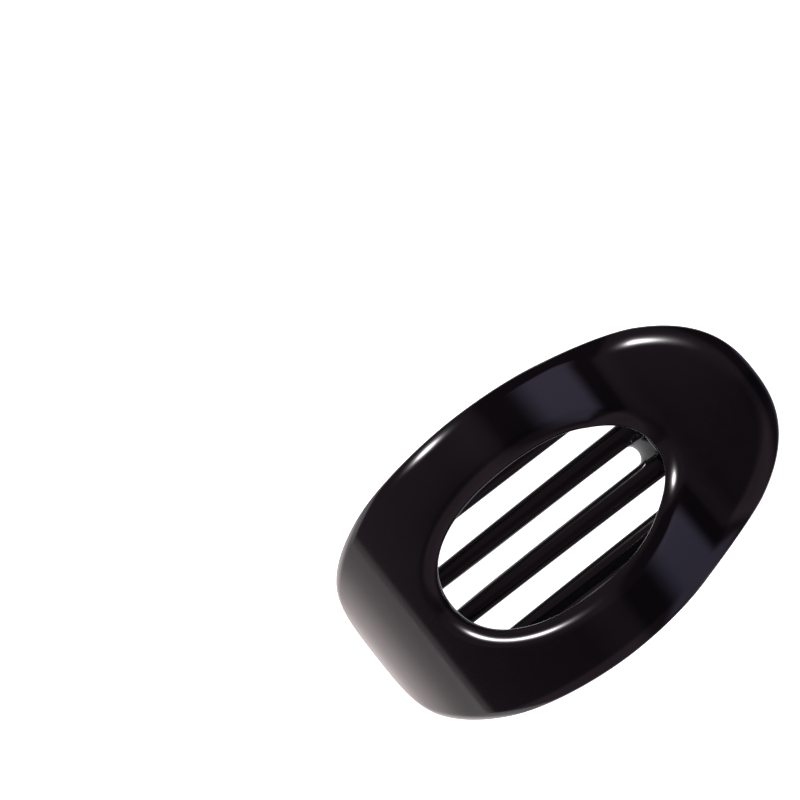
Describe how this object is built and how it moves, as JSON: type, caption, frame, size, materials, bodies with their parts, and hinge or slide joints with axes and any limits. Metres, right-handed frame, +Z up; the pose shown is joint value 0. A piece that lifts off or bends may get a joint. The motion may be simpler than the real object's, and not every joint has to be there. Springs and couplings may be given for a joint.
{
  "type": "flat claw clip",
  "caption": "Oval flat claw clip: an arched plate with a window, hinged over a jaw of slim tines, held shut by a torsion spring and opened with a thumb pad and finger lever.",
  "frame": {"origin": "middle of the clip's length and width, on the surface that it lies on", "axes": "+X from the lip to the thumb pad, +Y across, +Z up from the surface to the arch"},
  "size_m": [0.1052, 0.0646, 0.0346],
  "materials": {
    "gloss_black_plastic": "polished black injection moulding",
    "pin_steel": "cut steel rod with turned ends",
    "spring_steel": "bright nickelled spring wire"
  },
  "bodies": {
    "shell": {"top_shell": "gloss_black_plastic", "hinge_pin": "pin_steel", "torsion_spring": "spring_steel"},
    "jaw": {"tine_jaw": "gloss_black_plastic"}
  },
  "joints": [
    {"name": "jaw_hinge", "type": "hinge", "parent": "shell", "child": "jaw", "pos_m": [0.0308, 0, 0.014], "axis": [0, -1, 0], "range_deg": [0, 40], "stiffness_Nm_per_rad": 0.26, "springref_deg": -26.36, "deforming": ["torsion_spring"]}
  ]
}
